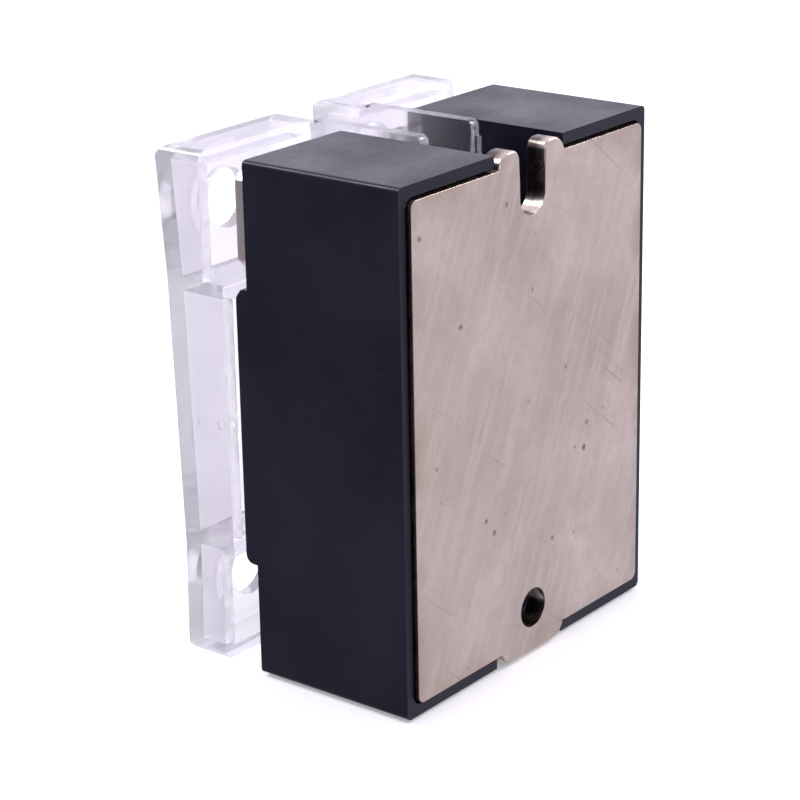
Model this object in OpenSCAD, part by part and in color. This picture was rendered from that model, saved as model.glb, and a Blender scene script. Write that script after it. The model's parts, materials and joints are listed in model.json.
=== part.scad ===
// Solid state relay, puck type, with a clip-on terminal cover.
// +Z runs along the relay from the control end to the load end, +Y is the mounting side, +X is the right
// side seen from the front. The origin is the middle of the mounting face, halfway between the two
// mounting holes. Heights are measured from the mounting face towards the front, which is -Y.

/* [Mounting] */
// Distance between the two mounting holes
hole_pitch = 47.6; // [47:0.1:48]
// Diameter of the mounting hole and width of the mounting slot
hole_d = 4.6; // [4.3:0.1:5]
// Thickness of the base plate
plate_t = 2.4; // [2:0.1:3]

/* [Housing] */
// Width of the housing
body_w = 44.6; // [44:0.1:46]
// Length of the housing
body_l = 58.2; // [57.8:0.1:59]
// Height of the housing's front at the terminals
deck_h = 21.0; // [20.5:0.1:22]
// Height of the raised middle of the front
crown_h = 22.7; // [22:0.1:24]
// How far the base plate stands out of the housing's rim
plate_proud = 0.5; // [0.2:0.1:0.8]
// Width of the notch at each end
notch_w = 12.4; // [11:0.1:13]
// Depth of the notch at each end
notch_l = 11.3; // [9:0.1:12]

/* [Terminals] */
// Distance of each terminal screw from the middle, across the relay
screw_x = 13.2; // [12.8:0.1:13.6]
// Distance of each terminal screw from the middle, along the relay
screw_z = 21.7; // [21.4:0.1:22]
// Travel of a load clamp from shut to fully open
load_lift = 3.5; // [0:0.1:3.5]
// Travel of a control clamp from shut to fully open
control_lift = 3.5; // [0:0.1:3.5]

/* [Cover] */
// Wall thickness of the clear cover
cover_t = 1.5; // [1.2:0.1:1.6]
// Height of the cover's front at the load end
cover_h_load = 33.4; // [33:0.1:34]
// Height of the cover's front at the control end
cover_h_control = 31.8; // [31.4:0.1:32.5]
// Diameter of the screwdriver holes
driver_d = 6.7; // [5:0.1:7]

/* [Hidden] */
$fn = 64;

// Housing
half_w = body_w / 2;
half_l = body_l / 2;
hole_z = hole_pitch / 2;
rim_h = plate_proud;
corner_r = 0.6;
wall = 2.4;
inner_x = half_w - wall;
inner_z = half_l - wall;
notch_x = notch_w / 2;
notch_floor = half_l - notch_l;
notch_wall = 1.5;
deck_inner_h = 14;
crown_top_z = 15.0;
crown_bottom_z = -16.3;
crown_inset = 0.15;
crown_skin = 2;
pocket_load_z = 17.0;
pocket_control_z = 18.4;
crown_wall = 2;
snap_rib = [0.3, 0.8, 6];
snap_rib_h = 13.2;
snap_rib_z = 22;
snap_rib_root = 0.5;

// Label on the raised middle, and the lamp hole through both
label_size = [39, 27];
label_t = 0.25;
label_r = 1;
label_hole_d = 3.6;
led_hole_d = 3.2;

// Base plate
plate_w = 41.8;
plate_l = 55;
plate_r = 0.9;
ear_x = notch_x - 0.2;
ear_r = 2;
slot_mouth_r = 1.1;
rebate_gap = 0.3;
seal_top_h = plate_t - 0.9;
seal_end_gap = 0.2;

// Power stage, in heights above the mounting face
ceramic = [31, 17.6, 0.8];
ceramic_z = 5.4;
pad_t = 0.3;
pad = [14.2, 16];
pad_gap = 1.2;
chip = [8, 8, 0.4];
chip_z = 2.6;
ceramic_h = plate_t;
pad_h = ceramic_h + ceramic[2];
chip_h = pad_h + pad_t;
gel_h = 8;
load_foot_z = 9.5;
gate_d = 0.8;
gate_places = [for (x = [-1, 1]) [x * 3.6, chip_z + 1], for (x = [-1, 1]) [x * 12.6, -1]];

// Control board
board_h = 11.4;
board_t = 1.6;
board_w = 36;
board_z0 = -17.6;
board_z1 = 13.2;
board_gap = 0.2;
board_top = board_h + board_t;
led_z = -8;
led_top = crown_h - 1.5;
led_d = 2.9;
led_flange_d = 3.8;
opto = [6.4, 7.4, 3.5];
opto_place = [-6, 1];
opto_stand = 0.4;
opto_leg = [0.7, 1.2, 2.2];
opto_leg_pitch = 2.54;
opto_leg_x = 3.4;
resistor = [6, 2.2];
resistor_wire = [9, 0.6];
resistor_places = [[6, -4], [6, 0], [6, 4], [-8, -10]];
capacitor = [12, 5, 5];
capacitor_place = [-7, 9.2];
varistor_size = [3, 7];
varistor_place = [6, 9.6];
transistor_d = 4.8;
transistor_flat = 1.6;
transistor_h = [1, 5];
transistor_place = [11, -11];

// Load terminals are M4 and control terminals M3, each with a square nut. These are the places of the
// sizes in the two lists below them.
THREAD_D = 0;
NUT_SIDE = 1;
NUT_T = 2;
PLATE_T = 3;
CLAMP_T = 4;
WASHER_T = 5;
HEAD_D = 6;
HEAD_T = 7;
CLAMP_SIZE = 8;
LIFT = 9;
LOAD = [4, 7, 3.2, 1.4, 1.2, 0.8, 8, 2.5, [10.4, 9.4], load_lift];
CONTROL = [3, 5.5, 2.4, 1.0, 0.9, 0.6, 5.6, 2.0, [7.4, 7], control_lift];
thread_left = 2;
seat_gap = 0.05;
lip = [0.8, 0.7];
tip_room = 0.3;
nut_gap = 0.1;
thread_gap = 0.05;
clamp_hole_gap = 0.25;
plate_chamfer = 1.3;
washer_gap = 0.15;
washer_inset = 0.4;
washer_split = 0.5;
washer_split_turn = 35;
head_rim = 0.7;
head_crown = 0.72;
cross_w = 1;
cross_depth = 1.4;
load_plate_x = [8.6, 22.0];
load_plate_z = [17.3, 27.7];
control_plate_x = [9.2, 17.2];
control_plate_z = [-25.6, -18.6];
tab_x = [9.4, 17.0];
load_tab_z = 15.5;
control_tab_z = -17.9;
tab_t = 1.0;

// Clear cover: heights of the front at four places along the relay
front_z = [-half_l, -16.1, 14.84, half_l];
front_h = [cover_h_control, 31.5, 32.4, cover_h_load];
shelf_load = [13.2, 14.84];
shelf_control = [-16.1, -14.5];
skirt_h = 24.4;
load_hood_h = 27.2;
control_hood_h = 26.2;
channel_x = 3.75;
leg_end_h = 10.9;
leg_top = half_l + 0.4;
leg_l = 7;
leg_r = 0.8;
barb = [0.45, 1.2];
inner_wall_h = 21.5;
inner_wall_gap = 0.6;
leg_root_h = inner_wall_h + 4;
stop_rib = [1.6, 1.4];
stop_rib_z = [21, 27];

// 2D shapes in the plane of the mounting face, pushed towards the front between two heights
module layer(from, to) translate([0, -from, 0]) rotate([90, 0, 0]) linear_extrude(to - from) children();

// A shape drawn as [distance along +Y, distance along +Z], pushed along +X between two places
module side_view(x0, x1) translate([x0, 0, 0]) rotate([90, 0, 90]) linear_extrude(x1 - x0) children();

module span(x, z) translate([x[0], z[0]]) square([x[1] - x[0], z[1] - z[0]]);

module centred(w, l) translate([-w / 2, -l / 2]) square([w, l]);

module rounded(w, l, r) {
  centred(w - 2 * r, l);
  centred(w, l - 2 * r);
  for (x = [-1, 1], z = [-1, 1]) translate([x * (w / 2 - r), z * (l / 2 - r)]) circle(r);
}

module at_screw(x, z) translate([x * screw_x, z * screw_z]) children();

// Screw-shaped solids stand on a terminal screw's axis
module at_axis(x, z, h) translate([x * screw_x, -h, z * screw_z]) rotate([90, 0, 0]) children();

module notches_2d() {
  for (z = [-1, 1])
    span([-notch_x, notch_x], z > 0 ? [notch_floor, half_l + 1] : [-half_l - 1, -notch_floor]);
}

module deck_2d() {
  difference() {
    rounded(body_w, body_l, corner_r);
    notches_2d();
  }
}

// The step that the base plate lies in
module rebate_2d() rounded(plate_w + 2 * rebate_gap, plate_l + 2 * rebate_gap, plate_r + rebate_gap);

// The room inside, which the notch walls narrow at both ends
module room_2d(z0, z1) {
  difference() {
    span([-inner_x, inner_x], [z0, z1]);
    for (z = [-1, 1])
      span([-notch_x - notch_wall, notch_x + notch_wall],
           z > 0 ? [notch_floor - notch_wall, half_l] : [-half_l, notch_wall - notch_floor]);
  }
}

module nut_pocket(x, z, s) {
  pocket = s[NUT_SIDE] + 2 * nut_gap;
  layer(deck_h - s[NUT_T] - nut_gap, deck_h + 1) at_screw(x, z) centred(pocket, pocket);
  layer(deck_h - thread_left - s[LIFT] - tip_room, deck_h)
    at_screw(x, z) circle(d = s[THREAD_D] + 2 * tip_room);
}

module housing() {
  color([0.055, 0.058, 0.066]) {
    difference() {
      union() {
        layer(rim_h, deck_h) deck_2d();
        layer(deck_h - 1, crown_h)
          span([-half_w + crown_inset, half_w - crown_inset], [crown_bottom_z, crown_top_z]);
      }
      layer(rim_h - 1, plate_t) rebate_2d();
      layer(rim_h, deck_inner_h) room_2d(-inner_z, inner_z);
      layer(rim_h, deck_h - 2) room_2d(-pocket_control_z, pocket_load_z);
      layer(rim_h, crown_h - crown_skin) room_2d(crown_bottom_z + crown_wall, crown_top_z - crown_wall);
      for (x = [-1, 1]) {
        nut_pocket(x, 1, LOAD);
        nut_pocket(x, -1, CONTROL);
        layer(deck_inner_h, deck_h + 1) {
          span(side(x, tab_x, 0.1), [load_tab_z - 0.1, load_tab_z + tab_t + 0.1]);
          span(side(x, tab_x, 0.1), [control_tab_z - 0.1, control_tab_z + tab_t + 0.1]);
        }
      }
      layer(crown_h - 4, crown_h + 1) translate([0, led_z]) circle(d = led_hole_d);
    }
    for (x = [-1, 1], z = [-1, 1]) snap_ridge(x, z);
  }
}

// A low ridge on each notch wall, which the cover's legs snap behind
module snap_ridge(x, z) {
  layer(snap_rib_h, snap_rib_h + snap_rib[1]) mirror([x > 0 ? 0 : 1, 0]) mirror([0, z > 0 ? 0 : 1])
    span([notch_x - snap_rib[0], notch_x + snap_rib_root], [snap_rib_z, snap_rib_z + snap_rib[2]]);
}

// A range given for the right side, mirrored to side x and widened by a gap
function side(x, r, gap = 0) = x > 0 ? [r[0] - gap, r[1] + gap] : [-r[1] - gap, -r[0] + gap];

module ear_2d(z) {
  inner = plate_l / 2 - 2;
  mirror([0, z > 0 ? 0 : 1]) {
    span([-ear_x, ear_x], [inner, half_l - ear_r]);
    span([-ear_x + ear_r, ear_x - ear_r], [inner, half_l]);
    for (x = [-1, 1]) translate([x * (ear_x - ear_r), half_l - ear_r]) circle(ear_r);
  }
}

// The open slot at the load end: a round end, straight sides and rounded mouth corners
module slot_2d() {
  translate([0, hole_z]) circle(d = hole_d);
  span([-hole_d / 2, hole_d / 2], [hole_z, half_l + 1]);
  for (x = [-1, 1])
    difference() {
      translate([x * hole_d / 2 - slot_mouth_r, half_l - slot_mouth_r]) square(2 * slot_mouth_r);
      translate([x * (hole_d / 2 + slot_mouth_r), half_l - slot_mouth_r]) circle(slot_mouth_r);
    }
}

module base_plate() {
  color([0.66, 0.62, 0.57]) layer(0, plate_t) difference() {
    union() {
      rounded(plate_w, plate_l, plate_r);
      ear_2d(1);
      ear_2d(-1);
    }
    slot_2d();
    translate([0, -hole_z]) circle(d = hole_d);
  }
}

// Sealant in the gap round the base plate, kept back from the rim
module base_seal() {
  color([0.03, 0.03, 0.035]) layer(seal_top_h, plate_t) difference() {
    rebate_2d();
    rounded(plate_w, plate_l, plate_r);
    centred(notch_w + seal_end_gap, body_l);
  }
}

module label_plate() {
  color([0.9, 0.9, 0.89]) layer(crown_h, crown_h + label_t) difference() {
    translate([0, (crown_top_z + crown_bottom_z) / 2]) rounded(label_size[0], label_size[1], label_r);
    translate([0, led_z]) circle(d = label_hole_d);
  }
}

module ceramic_2d() translate([0, ceramic_z]) centred(ceramic[0], ceramic[1]);

module pad_2d(x) translate([x * (pad[0] / 2 + pad_gap / 2), ceramic_z]) centred(pad[0], pad[1]);

module chip_2d(x) translate([x * (pad[0] / 2 + pad_gap / 2), chip_z]) centred(chip[0], chip[1]);

module ceramic_substrate() color([0.93, 0.92, 0.88]) layer(ceramic_h, pad_h) ceramic_2d();

module copper_pads() {
  color([0.78, 0.45, 0.28]) for (x = [-1, 1]) layer(pad_h, chip_h) pad_2d(x);
}

module thyristor_chips() {
  color([0.3, 0.3, 0.34]) for (x = [-1, 1]) layer(chip_h, chip_h + chip[2]) chip_2d(x);
}

module gel_fill() {
  color([0.75, 0.75, 0.7, 0.5]) difference() {
    layer(plate_t, gel_h) room_2d(-inner_z, inner_z);
    layer(ceramic_h - 1, pad_h) ceramic_2d();
    for (x = [-1, 1]) {
      layer(pad_h - 0.1, chip_h) pad_2d(x);
      layer(chip_h - 0.1, chip_h + chip[2]) chip_2d(x);
      layer(chip_h - 0.1, chip_h + tab_t) span(side(x, tab_x), [load_foot_z, load_tab_z + tab_t]);
      layer(chip_h, gel_h + 1) span(side(x, tab_x), [load_tab_z, load_tab_z + tab_t]);
    }
    for (p = gate_places) layer(chip_h, gel_h + 1) translate(p) circle(d = gate_d);
  }
}

// Four posts from the board to the chips and pads
module gate_leads() {
  color([0.8, 0.8, 0.78])
    for (p = gate_places) {
      on_chip = abs(p[0]) < 5;
      layer(chip_h + (on_chip ? chip[2] : 0), board_h) translate(p) circle(d = gate_d);
    }
}

module control_board() {
  color([0.1, 0.33, 0.2]) layer(board_h, board_top) difference() {
    span([-board_w / 2, board_w / 2], [board_z0, board_z1]);
    notch_side = notch_x + notch_wall + board_gap;
    span([-notch_side, notch_side], [board_z0 - 1, notch_wall - notch_floor + board_gap]);
    for (x = [-1, 1]) span(side(x, tab_x, 0.1), [control_tab_z - 0.1, control_tab_z + tab_t + 0.1]);
  }
}

module optocoupler() {
  color([0.08, 0.08, 0.09]) {
    layer(board_top + opto_stand, board_top + opto_stand + opto[2])
      translate(opto_place) centred(opto[0], opto[1]);
    for (x = [-opto_leg_x, opto_leg_x], z = [-opto_leg_pitch, 0, opto_leg_pitch])
      layer(board_top, board_top + opto_leg[2])
        translate(opto_place + [x, z]) centred(opto_leg[0], opto_leg[1]);
  }
}

// Axial resistors lying on the board
module resistors() {
  color([0.45, 0.62, 0.72])
    for (p = resistor_places)
      translate([p[0], -board_top - resistor[1] / 2 - 0.2, p[1]]) rotate([0, 90, 0]) {
        cylinder(h = resistor[0], d = resistor[1], center = true);
        cylinder(h = resistor_wire[0], d = resistor_wire[1], center = true);
      }
}

module snubber_capacitor() {
  color([0.72, 0.2, 0.14]) layer(board_top, board_top + capacitor[2])
    translate(capacitor_place) rounded(capacitor[0], capacitor[1], 1);
}

module varistor() {
  color([0.16, 0.35, 0.62]) 
    translate([varistor_place[0], -board_top - varistor_size[1] / 2 - 0.1, varistor_place[1]])
      cylinder(h = varistor_size[0], d = varistor_size[1], center = true);
}

module drive_transistor() {
  color([0.07, 0.07, 0.08]) layer(board_top + transistor_h[0], board_top + transistor_h[1])
    translate(transistor_place) difference() {
      circle(d = transistor_d);
      translate([-transistor_d, -transistor_d - transistor_flat]) square([2 * transistor_d, transistor_d]);
    }
}

// A 3 mm lamp under the hole in the raised front
module status_led() {
  color([0.85, 0.12, 0.1]) {
    layer(board_top, led_top + 1) translate([0, led_z]) circle(d = led_d);
    layer(board_top + 1, board_top + 2) translate([0, led_z]) circle(d = led_flange_d);
  }
}

// The terminal plate on the deck, its tab through the front wall and a foot on the pad or board
module load_terminal(x) {
  color([0.7, 0.66, 0.6]) difference() {
    union() {
      layer(deck_h, deck_h + LOAD[PLATE_T]) {
        difference() {
          span(side(x, load_plate_x), load_plate_z);
          for (z = load_plate_z)
            translate([x * load_plate_x[1], z]) rotate(45) centred(plate_chamfer, plate_chamfer);
        }
        span(side(x, tab_x), [load_tab_z, load_plate_z[0] + 0.1]);
      }
      layer(chip_h, deck_h + 0.1) span(side(x, tab_x), [load_tab_z, load_tab_z + tab_t]);
      layer(chip_h, chip_h + tab_t) span(side(x, tab_x), [load_foot_z, load_tab_z + tab_t]);
    }
    layer(deck_h - 1, deck_h + 3) at_screw(x, 1) circle(d = LOAD[THREAD_D] + 2 * clamp_hole_gap);
  }
}

module control_terminal(x) {
  color([0.7, 0.66, 0.6]) difference() {
    union() {
      layer(deck_h, deck_h + CONTROL[PLATE_T]) {
        span(side(x, control_plate_x), control_plate_z);
        span(side(x, tab_x), [control_plate_z[1] - 0.1, control_tab_z + tab_t]);
      }
      layer(board_h - 0.6, deck_h + 0.1) span(side(x, tab_x), [control_tab_z, control_tab_z + tab_t]);
    }
    layer(deck_h - 1, deck_h + 3) at_screw(x, -1) circle(d = CONTROL[THREAD_D] + 2 * clamp_hole_gap);
  }
}

module nut(x, z, s) {
  color([0.72, 0.7, 0.66]) layer(deck_h - s[NUT_T], deck_h) difference() {
    at_screw(x, z) centred(s[NUT_SIDE], s[NUT_SIDE]);
    at_screw(x, z) circle(d = s[THREAD_D] + 2 * thread_gap);
  }
}

// Heights of a shut clamp, of the washer on it and of the screw head on that
function clamp_seat(s) = deck_h + s[PLATE_T] + seat_gap;
function washer_seat(s) = clamp_seat(s) + s[CLAMP_T];
function head_seat(s) = washer_seat(s) + s[WASHER_T];

// The square plate under a terminal screw, with an upturned lip at each side
module clamp(x, z, s) {
  w = s[CLAMP_SIZE][0];
  l = s[CLAMP_SIZE][1];
  color([0.74, 0.71, 0.66]) {
    layer(clamp_seat(s), washer_seat(s)) difference() {
      at_screw(x, z) rounded(w, l, lip[0]);
      at_screw(x, z) circle(d = s[THREAD_D] + 2 * clamp_hole_gap);
    }
    for (e = [-1, 1])
      layer(washer_seat(s) - 0.1, washer_seat(s) + lip[1])
        at_screw(x, z) translate([e * (w - lip[0]) / 2, 0]) centred(lip[0], l - 2 * lip[0]);
  }
}

// A split spring washer
module washer(x, z, s) {
  color([0.66, 0.64, 0.6]) layer(washer_seat(s), head_seat(s)) at_screw(x, z) difference() {
    circle(d = s[HEAD_D] - 2 * washer_inset);
    circle(d = s[THREAD_D] + 2 * washer_gap);
    rotate(washer_split_turn) translate([0, -washer_split / 2]) square([s[HEAD_D], washer_split]);
  }
}

// A pan head screw with a cross recess, long enough to stay in its nut when the clamp is fully up
module screw(x, z, s) {
  shaft_l = head_seat(s) - deck_h + s[LIFT] + thread_left;
  rim_t = s[HEAD_T] * head_rim;
  color([0.76, 0.73, 0.68]) difference() {
    union() {
      at_axis(x, z, head_seat(s)) {
        cylinder(h = rim_t, d = s[HEAD_D]);
        translate([0, 0, rim_t - 0.01])
          cylinder(h = s[HEAD_T] - rim_t + 0.01, d1 = s[HEAD_D], d2 = s[HEAD_D] * head_crown);
      }
      at_axis(x, z, head_seat(s) - shaft_l) cylinder(h = shaft_l + 0.1, d = s[THREAD_D]);
    }
    at_axis(x, z, head_seat(s) + s[HEAD_T] - cross_depth)
      for (a = [0, 90]) rotate(a)
        translate([-s[THREAD_D] / 2, -cross_w / 2, 0]) cube([s[THREAD_D], cross_w, 2 * cross_depth]);
  }
}

// Height of the cover's front at a place along the relay
function cover_h(z) = lookup(z, [for (i = [0:3]) [front_z[i], front_h[i]]]);

// A wall seen from the side: from the sloping front back to one height, between two places
module cover_wall(x, z, rear) {
  inner = [for (i = [1:2]) if (front_z[i] > z[0] && front_z[i] < z[1]) [-front_h[i], front_z[i]]];
  side_view(x[0], x[1])
    polygon(concat([[-rear, z[0]], [-cover_h(z[0]), z[0]]], inner, [[-cover_h(z[1]), z[1]], [-rear, z[1]]]));
}

// The front skin, one wall thick, between two places
module cover_front(x, z) {
  side_view(x[0], x[1]) polygon([
    [-cover_h(z[0]), z[0]], [-cover_h(z[1]), z[1]],
    [-cover_h(z[1]) + cover_t, z[1]], [-cover_h(z[0]) + cover_t, z[0]]]);
}

// One corner hood: front with a screwdriver hole, outer wall, end wall, inner wall and clip leg
module hood(x, z) {
  load_end = z > 0;
  near = load_end ? shelf_load[1] : shelf_control[0];
  span_z = load_end ? [near - 0.1, half_l] : [-half_l, near + 0.1];
  rear = load_end ? load_hood_h : control_hood_h;
  end_z = load_end ? [half_l - cover_t, half_l] : [-half_l, cover_t - half_l];
  channel = side(x, [channel_x, channel_x + cover_t]);
  difference() {
    cover_front(side(x, [channel_x, half_w]), span_z);
    layer(cover_h_control - 5, cover_h_load + 1) at_screw(x, z) circle(d = driver_d);
  }
  cover_wall(side(x, [half_w - cover_t, half_w]), span_z, rear);
  cover_wall(side(x, [channel_x, half_w]), end_z, rear);
  cover_wall(channel, span_z, skirt_h);
  off_crown = load_end ? crown_top_z + inner_wall_gap : crown_bottom_z - inner_wall_gap;
  cover_wall(channel, load_end ? [off_crown, half_l] : [-half_l, off_crown], inner_wall_h);
  mirror([0, 0, load_end ? 0 : 1]) {
    clip_leg(x);
    layer(deck_h + 0.1, deck_h + stop_rib[1])
      span(side(x, [channel_x + cover_t - 0.1, channel_x + cover_t + stop_rib[0]]), stop_rib_z);
  }
}

// The leg runs back into the notch and ends in a low barb
module clip_leg(x) {
  leg_x = side(x, [channel_x, channel_x + cover_t]);
  side_view(leg_x[0], leg_x[1]) {
    translate([-leg_root_h, leg_top - leg_l]) square([leg_root_h - leg_end_h, leg_l - leg_r]);
    translate([-leg_root_h, leg_top - leg_l]) square([leg_root_h - leg_end_h - leg_r, leg_l]);
    translate([-leg_end_h - leg_r, leg_top - leg_r]) circle(leg_r);
  }
  layer(leg_end_h, leg_end_h + barb[1])
    span(side(x, [channel_x + cover_t - 0.1, channel_x + cover_t + barb[0]]), [leg_top - leg_l, leg_top - 2]);
}

// The clear moulding: a middle section between two shelves, and four corner hoods
module terminal_cover() {
  color([0.86, 0.87, 0.93, 0.35]) {
    cover_front([-half_w, half_w], [shelf_control[1] - 0.1, shelf_load[0] + 0.1]);
    for (x = [-1, 1])
      cover_wall(side(x, [half_w - cover_t, half_w]), [shelf_control[0], shelf_load[1]], skirt_h);
    for (z = [shelf_load, shelf_control]) cover_wall([-half_w, half_w], z, skirt_h);
    for (x = [-1, 1], z = [-1, 1]) hood(x, z);
  }
}

base_plate();
housing();
base_seal();
label_plate();
ceramic_substrate();
copper_pads();
thyristor_chips();
gel_fill();
control_board();
optocoupler();
resistors();
snubber_capacitor();
varistor();
drive_transistor();
gate_leads();
status_led();
load_terminal(-1);  // load_terminal_left
load_terminal(1);  // load_terminal_right
control_terminal(-1);  // control_terminal_left
control_terminal(1);  // control_terminal_right
nut(-1, 1, LOAD);  // load_nut_left
nut(1, 1, LOAD);  // load_nut_right
nut(-1, -1, CONTROL);  // control_nut_left
nut(1, -1, CONTROL);  // control_nut_right
terminal_cover();
clamp(-1, 1, LOAD);  // load_clamp_left
clamp(1, 1, LOAD);  // load_clamp_right
clamp(-1, -1, CONTROL);  // control_clamp_left
clamp(1, -1, CONTROL);  // control_clamp_right
washer(-1, 1, LOAD);  // load_washer_left
washer(1, 1, LOAD);  // load_washer_right
washer(-1, -1, CONTROL);  // control_washer_left
washer(1, -1, CONTROL);  // control_washer_right
screw(-1, 1, LOAD);  // load_screw_left
screw(1, 1, LOAD);  // load_screw_right
screw(-1, -1, CONTROL);  // control_screw_left
screw(1, -1, CONTROL);  // control_screw_right
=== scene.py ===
import json
import math

import bpy
import bmesh
from mathutils import Matrix, Vector


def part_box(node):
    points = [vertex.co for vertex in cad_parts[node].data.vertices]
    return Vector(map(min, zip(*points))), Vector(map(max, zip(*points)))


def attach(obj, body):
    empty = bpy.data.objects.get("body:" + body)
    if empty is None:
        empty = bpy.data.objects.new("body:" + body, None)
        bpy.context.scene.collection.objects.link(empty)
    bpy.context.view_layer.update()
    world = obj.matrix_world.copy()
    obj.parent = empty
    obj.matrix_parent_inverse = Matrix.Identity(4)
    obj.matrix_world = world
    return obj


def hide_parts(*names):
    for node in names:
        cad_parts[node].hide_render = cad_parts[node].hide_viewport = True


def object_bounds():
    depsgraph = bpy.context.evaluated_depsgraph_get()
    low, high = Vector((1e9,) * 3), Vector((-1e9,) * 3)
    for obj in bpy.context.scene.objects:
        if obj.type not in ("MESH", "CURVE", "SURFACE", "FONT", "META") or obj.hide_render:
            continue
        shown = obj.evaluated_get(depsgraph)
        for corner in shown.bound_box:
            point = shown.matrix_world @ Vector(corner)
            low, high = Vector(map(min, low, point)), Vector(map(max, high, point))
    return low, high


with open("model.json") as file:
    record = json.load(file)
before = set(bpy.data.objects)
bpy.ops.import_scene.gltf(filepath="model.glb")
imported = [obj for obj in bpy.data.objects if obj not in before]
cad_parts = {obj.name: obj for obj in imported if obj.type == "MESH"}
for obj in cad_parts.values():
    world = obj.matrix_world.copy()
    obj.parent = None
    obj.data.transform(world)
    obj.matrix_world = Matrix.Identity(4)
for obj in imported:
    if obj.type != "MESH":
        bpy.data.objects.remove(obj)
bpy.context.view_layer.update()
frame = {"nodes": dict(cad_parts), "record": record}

MM = 0.001
RELAY = "relay_body"
COVER = "cover"

# How close an edge has to lie to the place that it is looked for at
NEAR = 0.1 * MM

# Housing: the terminal deck's height, the small radius of every edge, and the larger ones on deck and crown
DECK = 21.0 * MM
CASE_EDGE = 0.3 * MM
DECK_END_R = 1.5 * MM
CROWN_R = 1.0 * MM
CROWN_FROM = 10 * MM

# Base plate: the roll of its rim, and the wider roll of its ears with how far that reaches
PLATE_ROLL = 0.42 * MM
EAR_ROLL = 0.8 * MM
EAR_HALF_W = 7 * MM
EAR_TIP = 1.7 * MM

# Clear cover: radii, wall, how far the clips pass its ends, and (place along Z, height) down its front
COVER_EDGE = 0.28 * MM
COVER_CORNER = 1.2 * MM
COVER_WALL = 1.5 * MM
CLIP_REACH = 0.4 * MM
COVER_FRONT = [
    (-29.1 * MM, 31.8 * MM),
    (-16.1 * MM, 31.5 * MM),
    (14.84 * MM, 32.4 * MM),
    (29.1 * MM, 33.4 * MM),
]

# Ejector pin marks inside each side wall of the cover: radius, depth, and where they are along Y and Z
EJECTOR_R = 0.6 * MM
EJECTOR_DEPTH = 0.1 * MM
EJECTOR_PLACES = [(-29.0 * MM, -1.3 * MM), (-26.1 * MM, -1.2 * MM)]

# Head height, thread diameter and pitch of each kind of screw
SCREWS = {"load": (2.5 * MM, 4.0 * MM, 0.7 * MM), "control": (2.0 * MM, 3.0 * MM, 0.5 * MM)}

# Edge radii of the stamped and pressed terminal parts
TERMINAL_R = 0.14 * MM
CLAMP_R = 0.16 * MM
WASHER_R = 0.1 * MM
NUT_R = 0.15 * MM

# Label: film edge radius, ink thickness, border and its line, and the signs' size, stroke and places
FILM_R = 0.08 * MM
INK_T = 0.02 * MM
LABEL_MARGIN = 1.2 * MM
LABEL_LINE = 0.35 * MM
SIGN = 2.4 * MM
WAVE_W = 1.3 * SIGN
WAVE_H = 0.5 * MM
STROKE = 0.45 * MM
SIGN_X = 13.2 * MM
SIGN_INSET = 3.4 * MM

# Lamp dome radius
DOME_R = 1.1 * MM

# Moves every pattern away from the origin, where noise of all scales would line up
PATTERN_SHIFT = (0.0871, 0.0523, 0.1137)

# What the softboxes point at
MIDDLE = (0, -0.01, 0)


# ---------------------------------------------------------------- modelling helpers

def deselect_all():
    bpy.ops.object.select_all(action="DESELECT")


def make_active(piece):
    deselect_all()
    piece.select_set(True)
    bpy.context.view_layer.objects.active = piece


def merged_copy(node, name):
    """A copy of a CAD node with its triangles joined into whole faces, ready for rounding."""
    source = frame["nodes"][node]
    piece = bpy.data.objects.new(name, source.data.copy())
    bpy.context.scene.collection.objects.link(piece)
    make_active(piece)
    bpy.ops.object.mode_set(mode="EDIT")
    bpy.ops.mesh.select_all(action="SELECT")
    bpy.ops.mesh.remove_doubles(threshold=0.002 * MM)
    bpy.ops.mesh.dissolve_limited(angle_limit=math.radians(0.5))
    bpy.ops.object.mode_set(mode="OBJECT")
    return piece


def apply_modifier(piece, kind, **settings):
    make_active(piece)
    modifier = piece.modifiers.new(kind.title(), kind)
    for key, value in settings.items():
        setattr(modifier, key, value)
    bpy.ops.object.modifier_apply(modifier=modifier.name)


def round_edges(piece, width, segments=2, angle=30):
    """Rounds every edge sharper than the angle and keeps the flat faces' normals true."""
    apply_modifier(piece, "BEVEL", width=width, segments=segments, limit_method="ANGLE",
                   angle_limit=math.radians(angle), use_clamp_overlap=True,
                   miter_outer="MITER_ARC", harden_normals=False)
    smooth(piece)
    apply_modifier(piece, "WEIGHTED_NORMAL", keep_sharp=True)


def smooth(piece, angle=40):
    make_active(piece)
    bpy.ops.object.shade_smooth_by_angle(angle=math.radians(angle))


def finish_piece(piece, material, slot, body, *nodes):
    """Gives a piece its material, the body it rides on and the CAD nodes it stands for, which it hides. The
    slot argument is not used.
    """
    piece.data.materials.clear()
    piece.data.materials.append(material)
    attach(piece, body)
    if nodes:
        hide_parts(*nodes)


# ---------------------------------------------------------------- material helpers

SPAN_SOCKETS = ("From Min", "From Max", "To Min", "To Max")


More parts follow.
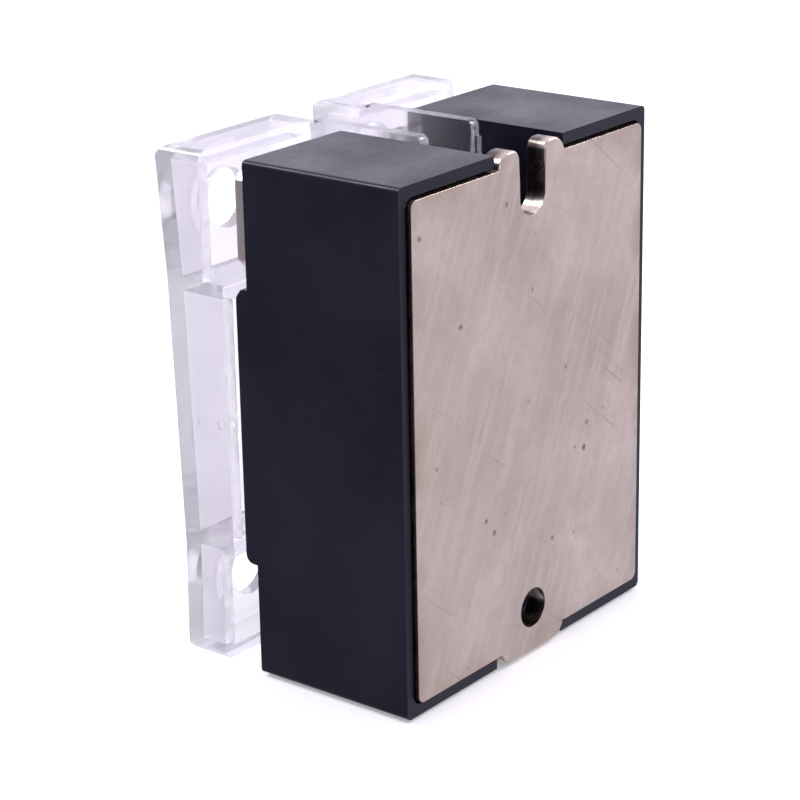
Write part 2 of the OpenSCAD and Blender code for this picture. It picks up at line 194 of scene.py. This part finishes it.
class Recipe:
    """A material's node tree with one Principled shader, and short calls for the nodes that feed it."""

    def __init__(self, name, **constants):
        self.material = bpy.data.materials.new(name)
        self.material.use_nodes = True
        self.tree = self.material.node_tree
        self.shader = self.tree.nodes["Principled BSDF"]
        for socket, value in constants.items():
            self.shader.inputs[socket.replace("_", " ")].default_value = value
        self.origin = self.add("ShaderNodeTexCoord").outputs["Object"]
        shifted = self.add("ShaderNodeMapping")
        shifted.inputs["Location"].default_value = PATTERN_SHIFT
        self.link(self.origin, shifted.inputs["Vector"])
        self.place = shifted.outputs["Vector"]

    def add(self, kind, **settings):
        made = self.tree.nodes.new(kind)
        for key, value in settings.items():
            setattr(made, key, value)
        return made

    def link(self, source, target):
        self.tree.links.new(source, target)

    def mapped(self, scale=(1, 1, 1), turn=(0, 0, 0)):
        """Object coordinates, turned and then stretched."""
        turned = self.add("ShaderNodeMapping")
        turned.inputs["Rotation"].default_value = [math.radians(t) for t in turn]
        self.link(self.place, turned.inputs["Vector"])
        stretched = self.add("ShaderNodeMapping")
        stretched.inputs["Scale"].default_value = scale
        self.link(turned.outputs["Vector"], stretched.inputs["Vector"])
        return stretched.outputs["Vector"]

    def axis(self, name):
        """How far along one of the object's axes the surface lies, without its sign."""
        parts = self.add("ShaderNodeSeparateXYZ")
        self.link(self.origin, parts.inputs["Vector"])
        return self.maths("ABSOLUTE", parts.outputs[name], 0)

    def noise(self, scale, detail=4, rough=0.5, vector=None, distortion=0):
        made = self.add("ShaderNodeTexNoise")
        self.link(vector or self.place, made.inputs["Vector"])
        made.inputs["Scale"].default_value = scale
        made.inputs["Detail"].default_value = detail
        made.inputs["Roughness"].default_value = rough
        made.inputs["Distortion"].default_value = distortion
        return made.outputs["Fac"]

    def cells(self, scale):
        made = self.add("ShaderNodeTexVoronoi")
        self.link(self.place, made.inputs["Vector"])
        made.inputs["Scale"].default_value = scale
        return made.outputs["Distance"]

    def span(self, value, low, high, to_low=0.0, to_high=1.0):
        made = self.add("ShaderNodeMapRange", clamp=True)
        self.link(value, made.inputs["Value"])
        for socket, number in zip(SPAN_SOCKETS, (low, high, to_low, to_high)):
            made.inputs[socket].default_value = number
        return made.outputs["Result"]

    def maths(self, operation, a, b):
        made = self.add("ShaderNodeMath", operation=operation)
        for socket, value in zip(made.inputs, (a, b)):
            if isinstance(value, (int, float)):
                socket.default_value = value
            else:
                self.link(value, socket)
        return made.outputs["Value"]

    def mix(self, factor, a, b):
        """Colour a where the factor is 0 and colour b where it is 1."""
        made = self.add("ShaderNodeMix", data_type="RGBA")
        sockets = [s for s in made.inputs if s.enabled]
        for socket, value in zip(sockets, (factor, a, b)):
            if isinstance(value, tuple):
                socket.default_value = (*value, 1)
            else:
                self.link(value, socket)
        return next(s for s in made.outputs if s.enabled)

    def bump(self, height, strength, distance):
        made = self.add("ShaderNodeBump")
        made.inputs["Strength"].default_value = strength
        made.inputs["Distance"].default_value = distance
        self.link(height, made.inputs["Height"])
        self.link(made.outputs["Normal"], self.shader.inputs["Normal"])

    def feed(self, socket, value):
        self.link(value, self.shader.inputs[socket])


def nickel_base():
    """Nickel plated sheet, wiped and handled: cloudy, with slanting wipe marks, scratches and pits, and
    painted shade on the walls deep inside its hole and slot.
    """
    dull, bright = (0.505, 0.425, 0.37), (0.70, 0.595, 0.53)
    yellowed, dusty = (0.63, 0.545, 0.435), (0.54, 0.455, 0.38)
    wiped, polished = (0.76, 0.655, 0.575), (0.77, 0.67, 0.59)
    tarnished, scratched, stained = (0.44, 0.335, 0.255), (0.34, 0.28, 0.24), (0.33, 0.25, 0.20)
    pitted, painted_hole_shade = (0.10, 0.08, 0.07), (0.035, 0.028, 0.025)
    r = Recipe("nickel_base", Metallic=1.0)
    clouds = r.noise(55, 6, 0.6)
    mottle = r.noise(700, 5, 0.65)
    wipes = r.noise(70, 7, 0.65, r.mapped((9, 9, 0.8), (0, 24, 0)))
    fine_wipes = r.noise(260, 4, 0.6, r.mapped((6, 6, 0.35), (0, 24, 0)))
    scratches = r.noise(110, 3, 0.5, r.mapped((26, 26, 0.6), (0, -52, 0)), 0.4)
    stains = r.noise(210, 5, 0.7, None, 0.8)
    pits = r.maths("ADD", r.cells(330), r.maths("MULTIPLY", mottle, 0.25))
    rare = r.span(r.noise(170, 2, 0.5), 0.545, 0.60)
    tone = r.mix(r.span(clouds, 0.38, 0.62), dull, bright)
    tone = r.mix(r.span(r.noise(33, 5, 0.65), 0.50, 0.60, 0, 0.6), tone, yellowed)
    tone = r.mix(r.span(mottle, 0.40, 0.68, 0, 0.5), tone, dusty)
    tone = r.mix(r.span(wipes, 0.50, 0.66, 0, 0.40), tone, wiped)
    tone = r.mix(r.span(fine_wipes, 0.52, 0.70, 0, 0.30), tone, polished)
    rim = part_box("base_plate")[1]
    side_rim = r.span(r.axis("X"), rim.x - 2.2 * MM, rim.x)
    end_rim = r.span(r.axis("Z"), rim.z - 5 * MM, rim.z)
    patches = r.span(r.noise(120, 5, 0.7), 0.40, 0.62, 0, 0.75)
    tone = r.mix(r.maths("MULTIPLY", r.maths("MAXIMUM", side_rim, end_rim), patches), tone, tarnished)
    tone = r.mix(r.span(scratches, 0.69, 0.73, 0, 0.4), tone, scratched)
    tone = r.mix(r.span(stains, 0.66, 0.80, 0, 0.5), tone, stained)
    tone = r.mix(r.maths("MULTIPLY", r.span(pits, 0.17, 0.27, 0.8, 0), rare), tone, pitted)
    # Painted shade: walls that lie deep in the sheet and off its middle, inside the hole and the slot, are
    # darkened nearly to black
    deep = r.span(r.axis("Y"), 0.35 * MM, 1.3 * MM)
    hole_side = r.span(r.axis("X"), 1.3 * MM, 1.9 * MM)
    tone = r.mix(r.maths("MULTIPLY", r.maths("MULTIPLY", deep, hole_side), 0.85), tone, painted_hole_shade)
    r.feed("Base Color", tone)
    r.feed("Roughness", r.span(r.maths("ADD", wipes, mottle), 0.8, 1.25, 0.20, 0.34))
    relief = r.maths("ADD", r.maths("MULTIPLY", wipes, 0.6), r.maths("ADD", scratches, mottle))
    r.bump(relief, 0.10, 0.04 * MM)
    return r.material


def nickel_terminal():
    """Plated terminal metal, with the drag marks of stamping."""
    r = Recipe("nickel_terminal", Metallic=1.0)
    drag = r.noise(260, 4, 0.6, r.mapped((1, 6, 1)))
    cloud = r.noise(180, 4, 0.5)
    tone = r.mix(r.span(cloud, 0.35, 0.65), (0.57, 0.51, 0.48), (0.65, 0.59, 0.56))
    tone = r.mix(r.span(drag, 0.5, 0.75, 0, 0.35), tone, (0.72, 0.66, 0.63))
    r.feed("Base Color", tone)
    r.feed("Roughness", r.span(drag, 0.3, 0.7, 0.24, 0.36))
    r.bump(drag, 0.06, 0.03 * MM)
    return r.material


def bright_screw():
    """Barrel-plated screw steel, with small dents."""
    r = Recipe("bright_screw", Metallic=1.0)
    dents = r.noise(900, 3, 0.5)
    r.feed("Base Color", r.mix(r.span(dents, 0.35, 0.65), (0.52, 0.50, 0.47), (0.72, 0.70, 0.66)))
    r.feed("Roughness", r.span(dents, 0.3, 0.7, 0.18, 0.34))
    r.bump(dents, 0.15, 0.03 * MM)
    return r.material


def case_black():
    """Moulded case plastic: blue-black, with a fine grain and a faint bloom from handling."""
    r = Recipe("case_black", IOR=1.35, Specular_Tint=(0.90, 0.87, 1.0, 1))
    grain = r.noise(2600, 2, 0.5)
    bloom = r.noise(45, 5, 0.6)
    scuffs = r.noise(120, 4, 0.6, r.mapped((12, 12, 1.2), (0, 20, 15)))
    tone = r.mix(r.span(bloom, 0.40, 0.62), (0.0028, 0.0026, 0.0075), (0.0066, 0.0056, 0.0145))
    tone = r.mix(r.span(scuffs, 0.68, 0.76, 0, 0.25), tone, (0.03, 0.03, 0.034))
    r.feed("Base Color", tone)
    haze = r.span(bloom, 0.38, 0.62, 0.24, 0.44)
    r.feed("Roughness", r.maths("ADD", haze, r.span(grain, 0.3, 0.7, 0, 0.06)))
    r.bump(grain, 0.08, 0.02 * MM)
    return r.material


def clear_cover_plastic():
    """Clear polycarbonate, slightly lilac, with the faint clouding of a moulded wall."""
    r = Recipe("clear_cover_plastic", IOR=1.46, Transmission_Weight=0.985, Alpha=0.82)
    clouding = r.noise(160, 2, 0.4)
    r.feed("Base Color", r.mix(r.span(clouding, 0.3, 0.7), (0.765, 0.75, 0.79), (0.795, 0.775, 0.815)))
    r.feed("Roughness", r.span(r.noise(300, 3, 0.5), 0.3, 0.7, 0.03, 0.09))
    return r.material


def plain_plastic(name, dark, light, roughness, grain=900, metallic=0.0, strength=0.08):
    """A moulded, dipped or printed surface whose tone and gloss wander a little."""
    r = Recipe(name, Metallic=metallic)
    drift = r.noise(grain / 6, 4, 0.55)
    fine = r.noise(grain, 2, 0.5)
    r.feed("Base Color", r.mix(r.span(drift, 0.35, 0.65), dark, light))
    r.feed("Roughness", r.span(fine, 0.3, 0.7, roughness - 0.06, roughness + 0.06))
    r.bump(fine, strength, 0.02 * MM)
    return r.material


# ---------------------------------------------------------------- the object's pieces

def edges_near(piece, wanted, width, segments=4):
    """Rounds only the edges whose middle and direction the test accepts."""
    make_active(piece)
    bpy.ops.object.mode_set(mode="EDIT")
    bpy.ops.mesh.select_mode(type="EDGE")
    bpy.ops.mesh.select_all(action="DESELECT")
    mesh = bmesh.from_edit_mesh(piece.data)
    for edge in mesh.edges:
        start, end = (corner.co for corner in edge.verts)
        edge.select = wanted((start + end) / 2, (end - start).normalized())
    mesh.select_flush_mode()
    bmesh.update_edit_mesh(piece.data)
    bpy.ops.mesh.bevel(offset=width, segments=segments, affect="EDGES", clamp_overlap=True)
    bpy.ops.object.mode_set(mode="OBJECT")


def build_case(material):
    case = merged_copy("housing", "case_shell")
    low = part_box("housing")[0]

    def across(direction):
        return abs(direction.x) > 0.99

    def deck_end(place, direction):
        return across(direction) and place.z < low.z + NEAR and abs(place.y + DECK) < NEAR

    def crown_edge(place, direction):
        return across(direction) and abs(place.y - low.y) < NEAR and abs(place.z) > CROWN_FROM

    edges_near(case, deck_end, DECK_END_R)
    edges_near(case, crown_edge, CROWN_R)
    round_edges(case, CASE_EDGE, 3)
    finish_piece(case, material, "housing_black", RELAY, "housing")


def build_base(material):
    base = merged_copy("base_plate", "base_metal")
    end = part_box("housing")[1].z

    def ear_edge(place, direction):
        return abs(place.y) < NEAR and abs(place.z) > end - EAR_TIP and abs(place.x) < EAR_HALF_W

    edges_near(base, ear_edge, EAR_ROLL, 5)
    round_edges(base, PLATE_ROLL, 4)
    finish_piece(base, material, "nickel_base", RELAY, "base_plate")


def cover_height(z):
    """Height of the cover's front at a place along the relay, straight between four places."""
    for (z0, h0), (z1, h1) in zip(COVER_FRONT, COVER_FRONT[1:]):
        if z <= z1 or z1 == COVER_FRONT[-1][0]:
            return h0 + (h1 - h0) * (z - z0) / (z1 - z0)


def build_cover(material):
    """The clear moulding. Its faces stay flat between the rounded edges, for a true view through it."""
    cover = merged_copy("terminal_cover", "clear_cover_shell")
    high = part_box("terminal_cover")[1]
    pins = []
    for side in (-1, 1):
        for place in EJECTOR_PLACES:
            bpy.ops.mesh.primitive_cylinder_add(
                vertices=32, radius=EJECTOR_R, depth=2 * EJECTOR_DEPTH,
                rotation=(0, math.radians(90), 0), location=(side * (high.x - COVER_WALL), *place))
            pins.append(bpy.context.object)
    cut_with(cover, pins)

    def end_edge(place, direction):
        on_end = abs(abs(place.z) - high.z + CLIP_REACH) < NEAR
        at_front = abs(place.y + cover_height(place.z)) < 1.5 * NEAR and abs(direction.x) > 0.9
        at_side = abs(abs(place.x) - high.x) < NEAR and abs(direction.y) > 0.9
        return on_end and (at_front or at_side)

    edges_near(cover, end_edge, COVER_CORNER, 7)
    apply_modifier(cover, "BEVEL", width=COVER_EDGE, segments=3, limit_method="ANGLE",
                   angle_limit=math.radians(50), use_clamp_overlap=True)
    cover.visible_shadow = False
    finish_piece(cover, material, "clear_cover", COVER, "terminal_cover")


def cut_with(piece, cutters):
    """Takes each cutter's shape out of a piece and throws the cutter away."""
    for cutter in cutters:
        make_active(cutter)
        bpy.ops.object.transform_apply(location=True, rotation=True, scale=True)
        apply_modifier(piece, "BOOLEAN", operation="DIFFERENCE", object=cutter, solver="EXACT")
        bpy.data.objects.remove(cutter)


def rounded_node(node, name, width, slot, body):
    piece = merged_copy(node, name)
    round_edges(piece, width)
    finish_piece(piece, materials[slot], slot, body, node)


def add_box(size, place):
    bpy.ops.mesh.primitive_cube_add(size=1, location=place)
    box = bpy.context.object
    box.scale = size
    bpy.ops.object.transform_apply(location=True, rotation=True, scale=True)
    return box


def model_screw(head_r, head_t, shaft_l, thread_r, pitch):
    """A pan head screw with a cross recess and a real helix, seated at the origin, its head along +Z."""
    bpy.ops.mesh.primitive_cylinder_add(vertices=64, radius=head_r, depth=head_t,
                                        location=(0, 0, head_t / 2))
    head = bpy.context.object
    bpy.ops.object.transform_apply(location=True)
    edges_near(head, lambda place, direction: place.z > head_t * 0.99, head_t * 0.55, 7)
    edges_near(head, lambda place, direction: place.z < head_t * 0.01, head_t * 0.08, 2)
    cross_l, cross_w, cross_d = 1.9 * thread_r, 0.26 * head_r, 1.1 * head_t
    arms = [add_box((cross_l, cross_w, cross_d), (0, 0, head_t)),
            add_box((cross_w, cross_l, cross_d), (0, 0, head_t))]
    bpy.ops.mesh.primitive_cone_add(vertices=24, radius1=0.1 * head_r, radius2=0.45 * head_r,
                                    depth=0.9 * head_t, location=(0, 0, 0.9 * head_t))
    cut_with(head, arms + [bpy.context.object])
    groove = 0.55 * pitch
    bpy.ops.mesh.primitive_cylinder_add(vertices=48, radius=thread_r - groove, depth=shaft_l + 0.2 * MM,
                                        location=(0, 0, 0.1 * MM - shaft_l / 2))
    core = bpy.context.object
    bpy.ops.object.transform_apply(location=True)
    bpy.ops.mesh.primitive_circle_add(vertices=3, radius=1.24 * groove / math.sqrt(3), fill_type="NOTHING",
                                      rotation=(math.radians(90), math.radians(90), 0))
    ridge = bpy.context.object
    bpy.ops.object.transform_apply(rotation=True)
    reach = max(v.co.x for v in ridge.data.vertices)
    turns = int(shaft_l / pitch) - 1
    for corner in ridge.data.vertices:
        corner.co.x += thread_r - reach
        corner.co.z -= shaft_l - 0.5 * pitch
    apply_modifier(ridge, "SCREW", angle=2 * math.pi, screw_offset=pitch, iterations=turns, steps=28,
                   render_steps=28, axis="Z", use_merge_vertices=True, merge_threshold=0.001 * MM)
    bpy.ops.object.mode_set(mode="EDIT")
    bpy.ops.mesh.select_all(action="SELECT")
    bpy.ops.mesh.fill_holes(sides=4)
    bpy.ops.mesh.normals_make_consistent(inside=False)
    bpy.ops.object.mode_set(mode="OBJECT")
    deselect_all()
    for part in (head, core, ridge):
        part.select_set(True)
    bpy.context.view_layer.objects.active = head
    bpy.ops.object.join()
    smooth(head, 35)
    return head


def build_screws():
    for kind, (head_t, thread_d, pitch) in SCREWS.items():
        low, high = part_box(f"{kind}_screw_right")
        head_r = (high.x - low.x) / 2
        model = model_screw(head_r, head_t, high.y - low.y - head_t, thread_d / 2, pitch)
        for side in ("left", "right"):
            node = f"{kind}_screw_{side}"
            low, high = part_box(node)
            piece = bpy.data.objects.new(f"{kind}_screw_threaded_{side}", model.data.copy())
            bpy.context.scene.collection.objects.link(piece)
            seat = Vector(((low.x + high.x) / 2, low.y + head_t, (low.z + high.z) / 2))
            turned = Matrix.Rotation(math.radians(90), 4, "X") @ Matrix.Rotation(math.radians(20), 4, "Z")
            piece.data.transform(Matrix.Translation(seat) @ turned)
            finish_piece(piece, materials["screw_zinc"], "screw_zinc", node, node)
        bpy.data.objects.remove(model)


def build_terminal_sets():
    for kind in ("load", "control"):
        for side in ("left", "right"):
            terminal, clamp, screw, washer, nut = (
                f"{kind}_{part}_{side}" for part in ("terminal", "clamp", "screw", "washer", "nut"))
            rounded_node(terminal, f"{kind}_plate_{side}", TERMINAL_R, "terminal_nickel", RELAY)
            rounded_node(clamp, f"{kind}_clamp_plate_{side}", CLAMP_R, "terminal_nickel", clamp)
            rounded_node(washer, f"{kind}_spring_washer_{side}", WASHER_R, "screw_zinc", screw)
            rounded_node(nut, f"{kind}_square_nut_{side}", NUT_R, "screw_zinc", RELAY)


def ink(piece, name):
    piece.name = name
    finish_piece(piece, materials["label_ink"], "label_white", RELAY)


def build_label():
    """A blank label with a printed border and the usual signs for the terminals, and the lamp below it."""
    rounded_node("label_plate", "label_film", FILM_R, "label_white", RELAY)
    low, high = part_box("label_plate")
    face = low.y
    middle = (low.z + high.z) / 2
    size = (high.x - low.x - 2 * LABEL_MARGIN, high.z - low.z - 2 * LABEL_MARGIN)
    border = add_box((size[0], 2 * INK_T, size[1]), (0, face, middle))
    edges_near(border, lambda place, direction: abs(direction.y) > 0.99, 0.8 * MM, 6)
    cutter = add_box((size[0] - 2 * LABEL_LINE, 6 * INK_T, size[1] - 2 * LABEL_LINE), (0, face, middle))
    edges_near(cutter, lambda place, direction: abs(direction.y) > 0.99, 0.5 * MM, 6)
    cut_with(border, [cutter])
    ink(border, "label_border")
    for side, name in ((-1, "left"), (1, "right")):
        x = side * SIGN_X
        bar = add_box((SIGN, 2 * INK_T, STROKE), (x, face, low.z + SIGN_INSET))
        if side > 0:
            upright = add_box((STROKE, 2 * INK_T, SIGN), (x, face, low.z + SIGN_INSET))
            apply_modifier(bar, "BOOLEAN", operation="UNION", object=upright, solver="EXACT")
            bpy.data.objects.remove(upright)
        ink(bar, f"label_dc_sign_{name}")
        wave = add_box((WAVE_W, 2 * INK_T, STROKE), (x, face, high.z - SIGN_INSET))
        make_active(wave)
        bpy.ops.object.mode_set(mode="EDIT")
        bpy.ops.mesh.select_all(action="SELECT")
        bpy.ops.mesh.subdivide(number_cuts=15)
        bpy.ops.object.mode_set(mode="OBJECT")
        for corner in wave.data.vertices:
            corner.co.z += WAVE_H * math.sin(2 * math.pi * (corner.co.x - x) / WAVE_W)
        ink(wave, f"label_ac_sign_{name}")
    lamp = merged_copy("status_led", "lamp_dome")
    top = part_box("status_led")[0].y
    edges_near(lamp, lambda place, direction: place.y < top + NEAR / 2, DOME_R, 7)
    smooth(lamp)
    finish_piece(lamp, materials["lamp_red"], "lamp_red", RELAY, "status_led")


materials = {
    "nickel_base": nickel_base(),
    "terminal_nickel": nickel_terminal(),
    "screw_zinc": bright_screw(),
    "housing_black": case_black(),
    "clear_cover": clear_cover_plastic(),
    "sealant": plain_plastic("sealant", (0.006, 0.006, 0.008), (0.014, 0.014, 0.017), 0.5),
    "label_white": plain_plastic("label_film", (0.74, 0.74, 0.73), (0.82, 0.82, 0.81), 0.42),
    "ceramic": plain_plastic("alumina", (0.78, 0.76, 0.72), (0.86, 0.85, 0.82), 0.6),
    "copper": plain_plastic("copper_pads", (0.62, 0.28, 0.16), (0.80, 0.42, 0.27), 0.32, metallic=1.0),
    "silicon": plain_plastic("silicon_chip", (0.16, 0.16, 0.19), (0.24, 0.24, 0.28), 0.25, metallic=0.6),
    "gel": plain_plastic("silicone_gel", (0.42, 0.42, 0.38), (0.52, 0.52, 0.47), 0.2),
    "board_green": plain_plastic("solder_mask", (0.010, 0.085, 0.035), (0.018, 0.12, 0.05), 0.35),
    "chip_black": plain_plastic("moulded_chip", (0.008, 0.008, 0.009), (0.016, 0.016, 0.018), 0.5),
    "resistor_blue": plain_plastic("resistor_lacquer", (0.10, 0.30, 0.42), (0.16, 0.38, 0.50), 0.3),
    "capacitor_red": plain_plastic("capacitor_dip", (0.40, 0.035, 0.02), (0.50, 0.06, 0.03), 0.3),
    "varistor_blue": plain_plastic("varistor_dip", (0.02, 0.09, 0.30), (0.035, 0.13, 0.38), 0.35),
    "tinned_wire": plain_plastic("tinned_wire", (0.55, 0.55, 0.54), (0.70, 0.70, 0.69), 0.25, metallic=1.0),
    "label_ink": plain_plastic("label_ink", (0.012, 0.013, 0.02), (0.03, 0.03, 0.04), 0.5),
    "lamp_red": plain_plastic("lamp_lens", (0.45, 0.01, 0.008), (0.60, 0.025, 0.015), 0.15),
}

node_slots = {s["node"]: s["material_slot"] for s in frame["record"]["subparts"]}
for node, thing in frame["nodes"].items():
    thing.data.materials.clear()
    thing.data.materials.append(materials[node_slots[node]])

build_case(materials["housing_black"])
build_base(materials["nickel_base"])
build_cover(materials["clear_cover"])
build_terminal_sets()
build_screws()
build_label()


# ---------------------------------------------------------------- floor, light and camera

def build_floor():
    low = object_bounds()[0]
    deselect_all()
    bpy.ops.mesh.primitive_plane_add(size=6, location=(0, 0, low.z))
    floor = bpy.context.object
    floor.name = "floor"
    floor.visible_glossy = False
    r = Recipe("floor_white", Roughness=0.9, Emission_Strength=0.22, Emission_Color=(1, 1, 1, 1))
    r.feed("Base Color", r.mix(r.span(r.noise(6, 2), 0.3, 0.7), (0.84, 0.84, 0.84), (0.86, 0.86, 0.86)))
    floor.data.materials.append(r.material)


def add_softbox(name, place, size, power, colour=(1, 1, 1)):
    lamp = bpy.data.lights.new(name, "AREA")
    lamp.shape = "RECTANGLE"
    lamp.size, lamp.size_y = size
    lamp.energy = power
    lamp.color = colour
    box = bpy.data.objects.new(name, lamp)
    bpy.context.scene.collection.objects.link(box)
    box.location = place
    box.rotation_mode = "QUATERNION"
    box.rotation_quaternion = (Vector(MIDDLE) - Vector(place)).to_track_quat("-Z", "Y")


def build_world():
    """A white tent with a dark opening. Gloss sees it shaded, so that black plastic stays black."""
    world = bpy.data.worlds.new("studio")
    bpy.context.scene.world = world
    world.use_nodes = True
    tree = world.node_tree
    ground = tree.nodes["Background"]

    def add(kind, **settings):
        made = tree.nodes.new(kind)
        for key, value in settings.items():
            setattr(made, key, value)
        return made

    def span(value, numbers):
        made = add("ShaderNodeMapRange", clamp=True)
        tree.links.new(value, made.inputs["Value"])
        for socket, number in zip(SPAN_SOCKETS, numbers):
            made.inputs[socket].default_value = number
        return made.outputs["Result"]

    towards = add("ShaderNodeTexCoord").outputs["Generated"]
    lit_side = add("ShaderNodeVectorMath", operation="DOT_PRODUCT")
    tree.links.new(towards, lit_side.inputs[0])
    lit_side.inputs[1].default_value = (-0.72, -0.25, 0.65)
    parts = add("ShaderNodeSeparateXYZ")
    tree.links.new(towards, parts.inputs["Vector"])
    tent = add("ShaderNodeMath", operation="ADD")
    tree.links.new(span(lit_side.outputs["Value"], (-0.55, 0.9, 0.31, 1.2)), tent.inputs[0])
    tree.links.new(span(parts.outputs["Z"], (-0.5, -0.22, 0.1, 0.0)), tent.inputs[1])
    path = add("ShaderNodeLightPath")
    dark_side = add("ShaderNodeVectorMath", operation="DOT_PRODUCT")
    tree.links.new(towards, dark_side.inputs[0])
    dark_side.inputs[1].default_value = (0.72, 0.60, 0.35)
    through = add("ShaderNodeMix", data_type="FLOAT")
    tree.links.new(path.outputs["Is Transmission Ray"], through.inputs["Factor"])
    through.inputs["A"].default_value = 1.0
    tree.links.new(span(dark_side.outputs["Value"], (0.15, 0.6, 1.0, 0.04)), through.inputs["B"])
    seen = add("ShaderNodeMix", data_type="FLOAT")
    tree.links.new(path.outputs["Is Glossy Ray"], seen.inputs["Factor"])
    tree.links.new(through.outputs["Result"], seen.inputs["A"])
    tree.links.new(tent.outputs["Value"], seen.inputs["B"])
    tree.links.new(seen.outputs["Result"], ground.inputs["Strength"])
    ground.inputs["Color"].default_value = (1, 0.96, 1.12, 1)


def build_light():
    build_world()
    add_softbox("key", (-0.60, 0.27, 0.50), (0.22, 0.22), 2.1, (1.0, 0.985, 0.96))
    add_softbox("front", (0.28, -0.50, 0.64), (0.30, 0.12), 2.8, (0.96, 0.98, 1.0))
    add_softbox("rear", (0.45, 0.60, 0.30), (0.16, 0.30), 0.9)
    scene = bpy.context.scene
    scene.view_settings.view_transform = "Standard"
    scene.cycles.max_bounces = 64
    scene.cycles.transmission_bounces = 64
    scene.cycles.glossy_bounces = 64
    scene.cycles.transparent_max_bounces = 64


def build_camera():
    """Looks down on the back, the right side and the load end, with a slight lean."""
    azimuth, elevation, roll = (math.radians(angle) for angle in (128.43, 19.38, -1.1))
    lens = bpy.data.cameras.new("camera")
    lens.lens = 112.8
    lens.clip_start, lens.clip_end = 0.01, 20
    camera = bpy.data.objects.new("camera", lens)
    bpy.context.scene.collection.objects.link(camera)
    camera.location = (0.20987, 0.14810, 0.09127)
    flat = math.cos(elevation)
    back = Vector((math.sin(azimuth) * flat, -math.cos(azimuth) * flat, math.sin(elevation)))
    camera.rotation_mode = "QUATERNION"
    level = (-back).to_track_quat("-Z", "Y")
    camera.rotation_quaternion = level @ Matrix.Rotation(roll, 4, "Z").to_quaternion()
    bpy.context.scene.camera = camera


build_floor()
build_light()
build_camera()
